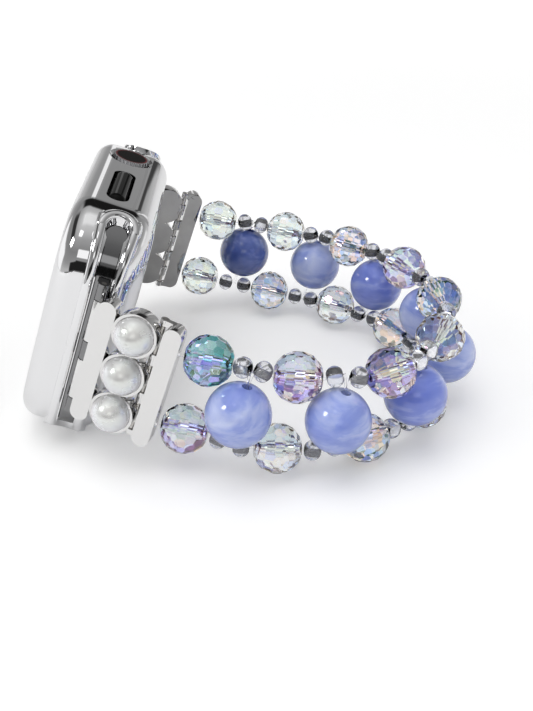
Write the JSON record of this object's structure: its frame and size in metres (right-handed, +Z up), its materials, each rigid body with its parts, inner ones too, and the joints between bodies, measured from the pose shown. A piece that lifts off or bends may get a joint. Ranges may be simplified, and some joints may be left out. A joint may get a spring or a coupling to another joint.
{
  "type": "beaded watch bracelet",
  "caption": "Closed elastic watch bracelet: mirror-plated watch cover with its watch, pearl-set links and a two-row net of faceted crystals and round stone beads.",
  "frame": {"origin": "middle of the whole object's box, on the floor that the bracelet lies on", "axes": "+Z up from the floor, +X from the watch to the far end of the bead loop, +Y towards the watch's 12 o'clock end; the watch leans towards +X with its crown side up"},
  "size_m": [0.074, 0.0698, 0.0388],
  "materials": {
    "plated_cover": "mirror chrome plating",
    "watch_metal": "dark satin anodised",
    "display": "polished black glass",
    "back_glass": "polished dark glass",
    "crown_metal": "satin steel",
    "crown_accent": "dark red enamel",
    "crown_end": "polished black",
    "button_metal": "satin",
    "link_metal": "polished plating on a zinc casting",
    "pin_steel": "drawn steel",
    "pearl": "pearl lacquer",
    "crystal": "clear cut glass with a rainbow coating",
    "agate": "polished dyed stone",
    "seed_glass": "silver-lined clear glass",
    "elastic": "clear elastic cord"
  },
  "bodies": {
    "watch": {"case_cover": "plated_cover", "watch_housing": "watch_metal", "display_glass": "display", "back_crystal": "back_glass"},
    "crown_shaft": {"crown_stem": "pin_steel"},
    "crown_wheel": {"crown": "crown_metal", "crown_ring": "crown_accent", "crown_lens": "crown_end"},
    "button": {"side_button": "button_metal"},
    "release_12": {"release_button_12": "button_metal"},
    "release_6": {"release_button_6": "button_metal"},
    "strap": {"lug_insert_6": "link_metal", "lug_pin_6": "pin_steel", "pearl_setting_6": "link_metal", "pearls_6": "pearl", "end_bar_6": "link_metal", "link_pin_6": "pin_steel", "lug_insert_12": "link_metal", "lug_pin_12": "pin_steel", "pearl_setting_12": "link_metal", "pearls_12": "pearl", "end_bar_12": "link_metal", "link_pin_12": "pin_steel", "seed_beads_1": "seed_glass", "seed_beads_2": "seed_glass", "seed_beads_3": "seed_glass", "seed_beads_4": "seed_glass", "seed_beads_5": "seed_glass", "seed_beads_6": "seed_glass", "seed_beads_7": "seed_glass", "seed_beads_8": "seed_glass", "elastic_cord_a": "elastic", "elastic_cord_b": "elastic"},
    "agate_1": {"agate_bead_1": "agate"},
    "agate_2": {"agate_bead_2": "agate"},
    "agate_3": {"agate_bead_3": "agate"},
    "agate_4": {"agate_bead_4": "agate"},
    "agate_5": {"agate_bead_5": "agate"},
    "agate_6": {"agate_bead_6": "agate"},
    "agate_7": {"agate_bead_7": "agate"},
    "agate_8": {"agate_bead_8": "agate"},
    "crystal_top_1": {"top_crystal_1": "crystal"},
    "crystal_top_2": {"top_crystal_2": "crystal"},
    "crystal_top_3": {"top_crystal_3": "crystal"},
    "crystal_top_4": {"top_crystal_4": "crystal"},
    "crystal_top_5": {"top_crystal_5": "crystal"},
    "crystal_top_6": {"top_crystal_6": "crystal"},
    "crystal_top_7": {"top_crystal_7": "crystal"},
    "crystal_top_8": {"top_crystal_8": "crystal"},
    "crystal_top_9": {"top_crystal_9": "crystal"},
    "crystal_bottom_1": {"bottom_crystal_1": "crystal"},
    "crystal_bottom_2": {"bottom_crystal_2": "crystal"},
    "crystal_bottom_3": {"bottom_crystal_3": "crystal"},
    "crystal_bottom_4": {"bottom_crystal_4": "crystal"},
    "crystal_bottom_5": {"bottom_crystal_5": "crystal"},
    "crystal_bottom_6": {"bottom_crystal_6": "crystal"},
    "crystal_bottom_7": {"bottom_crystal_7": "crystal"},
    "crystal_bottom_8": {"bottom_crystal_8": "crystal"},
    "crystal_bottom_9": {"bottom_crystal_9": "crystal"}
  },
  "joints": [
    {"name": "strap_slide", "type": "slide", "parent": "watch", "child": "strap", "axis": [0.3362, 0, 0.9418], "range_m": [0, 0.04]},
    {"name": "crown_press", "type": "slide", "parent": "watch", "child": "crown_shaft", "axis": [-0.3362, 0, -0.9418], "range_m": [0, 0.0003], "stiffness_N_per_m": 4000, "springref_m": -0.0002},
    {"name": "crown_turn", "type": "hinge", "parent": "crown_shaft", "child": "crown_wheel", "pos_m": [-0.01922, 0.01127, 0.03766], "axis": [0.3362, 0, 0.9418], "continuous": true},
    {"name": "side_button_press", "type": "slide", "parent": "watch", "child": "button", "axis": [-0.3362, 0, -0.9418], "range_m": [0, 0.0003], "stiffness_N_per_m": 4000, "springref_m": -0.0002},
    {"name": "release_press_12", "type": "slide", "parent": "watch", "child": "release_12", "axis": [-0.9418, 0, 0.3362], "range_m": [0, 0.0003], "stiffness_N_per_m": 3000, "springref_m": -0.0002},
    {"name": "release_press_6", "type": "slide", "parent": "watch", "child": "release_6", "axis": [-0.9418, 0, 0.3362], "range_m": [0, 0.0003], "stiffness_N_per_m": 3000, "springref_m": -0.0002},
    {"name": "agate_1_spin", "type": "hinge", "parent": "strap", "child": "agate_1", "pos_m": [-0.00187, -0.03, 0.01208], "axis": [0.2909, 0, 0.9568], "continuous": true},
    {"name": "agate_2_spin", "type": "hinge", "parent": "strap", "child": "agate_2", "pos_m": [0.01258, -0.02968, 0.01036], "axis": [0.2117, 0, 0.9773], "continuous": true},
    {"name": "agate_3_spin", "type": "hinge", "parent": "strap", "child": "agate_3", "pos_m": [0.02504, -0.02226, 0.00993], "axis": [0.1581, 0, 0.9874], "continuous": true},
    {"name": "agate_4_spin", "type": "hinge", "parent": "strap", "child": "agate_4", "pos_m": [0.03215, -0.00972, 0.00977], "axis": [0.1312, 0, 0.9914], "continuous": true},
    {"name": "agate_5_spin", "type": "hinge", "parent": "strap", "child": "agate_5", "pos_m": [0.03158, 0.00468, 0.00978], "axis": [0.1312, 0, 0.9914], "continuous": true},
    {"name": "agate_6_spin", "type": "hinge", "parent": "strap", "child": "agate_6", "pos_m": [0.02411, 0.01698, 0.00995], "axis": [0.1581, 0, 0.9874], "continuous": true},
    {"name": "agate_7_spin", "type": "hinge", "parent": "strap", "child": "agate_7", "pos_m": [0.01313, 0.02666, 0.01016], "axis": [0.2117, 0, 0.9773], "continuous": true},
    {"name": "agate_8_spin", "type": "hinge", "parent": "strap", "child": "agate_8", "pos_m": [-0.00086, 0.03, 0.01179], "axis": [0.2909, 0, 0.9568], "continuous": true},
    {"name": "crystal_top_1_spin", "type": "hinge", "parent": "strap", "child": "crystal_top_1", "pos_m": [-0.00585, -0.02626, 0.01901], "axis": [0.9774, -0.1222, -0.1727], "continuous": true},
    {"name": "crystal_top_2_spin", "type": "hinge", "parent": "strap", "child": "crystal_top_2", "pos_m": [0.00681, -0.02784, 0.01677], "axis": [0.9948, -0.0135, -0.1009], "continuous": true},
    {"name": "crystal_top_3_spin", "type": "hinge", "parent": "strap", "child": "crystal_top_3", "pos_m": [0.0203, -0.02655, 0.0164], "axis": [0.8904, 0.4548, -0.0204], "continuous": true},
    {"name": "crystal_top_4_spin", "type": "hinge", "parent": "strap", "child": "crystal_top_4", "pos_m": [0.02955, -0.01604, 0.01625], "axis": [0.4326, 0.9015, -0.007], "continuous": true},
    {"name": "crystal_top_5_spin", "type": "hinge", "parent": "strap", "child": "crystal_top_5", "pos_m": [0.0319, -0.00255, 0.01621], "axis": [-0.057, 0.9984, 0.0011], "continuous": true},
    {"name": "crystal_top_6_spin", "type": "hinge", "parent": "strap", "child": "crystal_top_6", "pos_m": [0.02807, 0.01045, 0.01628], "axis": [-0.4828, 0.8757, 0.008], "continuous": true},
    {"name": "crystal_top_7_spin", "type": "hinge", "parent": "strap", "child": "crystal_top_7", "pos_m": [0.01908, 0.02068, 0.01643], "axis": [-0.7602, 0.6495, 0.0173], "continuous": true},
    {"name": "crystal_top_8_spin", "type": "hinge", "parent": "strap", "child": "crystal_top_8", "pos_m": [0.00744, 0.02805, 0.01675], "axis": [-0.9438, 0.3156, 0.0986], "continuous": true},
    {"name": "crystal_top_9_spin", "type": "hinge", "parent": "strap", "child": "crystal_top_9", "pos_m": [-0.00584, 0.02908, 0.01901], "axis": [-0.9829, 0.0764, 0.1672], "continuous": true},
    {"name": "crystal_bottom_1_spin", "type": "hinge", "parent": "strap", "child": "crystal_bottom_1", "pos_m": [-0.01002, -0.02596, 0.00724], "axis": [0.9722, -0.1469, -0.1824], "continuous": true},
    {"name": "crystal_bottom_2_spin", "type": "hinge", "parent": "strap", "child": "crystal_bottom_2", "pos_m": [0.00375, -0.02804, 0.00465], "axis": [0.993, 0.0349, -0.1126], "continuous": true},
    {"name": "crystal_bottom_3_spin", "type": "hinge", "parent": "strap", "child": "crystal_bottom_3", "pos_m": [0.01724, -0.02507, 0.00412], "axis": [0.892, 0.4511, -0.029], "continuous": true},
    {"name": "crystal_bottom_4_spin", "type": "hinge", "parent": "strap", "child": "crystal_bottom_4", "pos_m": [0.02765, -0.01595, 0.00388], "axis": [0.5194, 0.8544, -0.0121], "continuous": true},
    {"name": "crystal_bottom_5_spin", "type": "hinge", "parent": "strap", "child": "crystal_bottom_5", "pos_m": [0.03095, -0.00253, 0.0038], "axis": [-0.0323, 0.9995, 0.0006], "continuous": true},
    {"name": "crystal_bottom_6_spin", "type": "hinge", "parent": "strap", "child": "crystal_bottom_6", "pos_m": [0.02678, 0.0107, 0.00389], "axis": [-0.5238, 0.8518, 0.0121], "continuous": true},
    {"name": "crystal_bottom_7_spin", "type": "hinge", "parent": "strap", "child": "crystal_bottom_7", "pos_m": [0.01673, 0.02052, 0.00413], "axis": [-0.8159, 0.5776, 0.0268], "continuous": true},
    {"name": "crystal_bottom_8_spin", "type": "hinge", "parent": "strap", "child": "crystal_bottom_8", "pos_m": [0.00397, 0.02681, 0.00464], "axis": [-0.9464, 0.3037, 0.1095], "continuous": true},
    {"name": "crystal_bottom_9_spin", "type": "hinge", "parent": "strap", "child": "crystal_bottom_9", "pos_m": [-0.01004, 0.02908, 0.00724], "axis": [-0.971, 0.1571, 0.1801], "continuous": true}
  ]
}
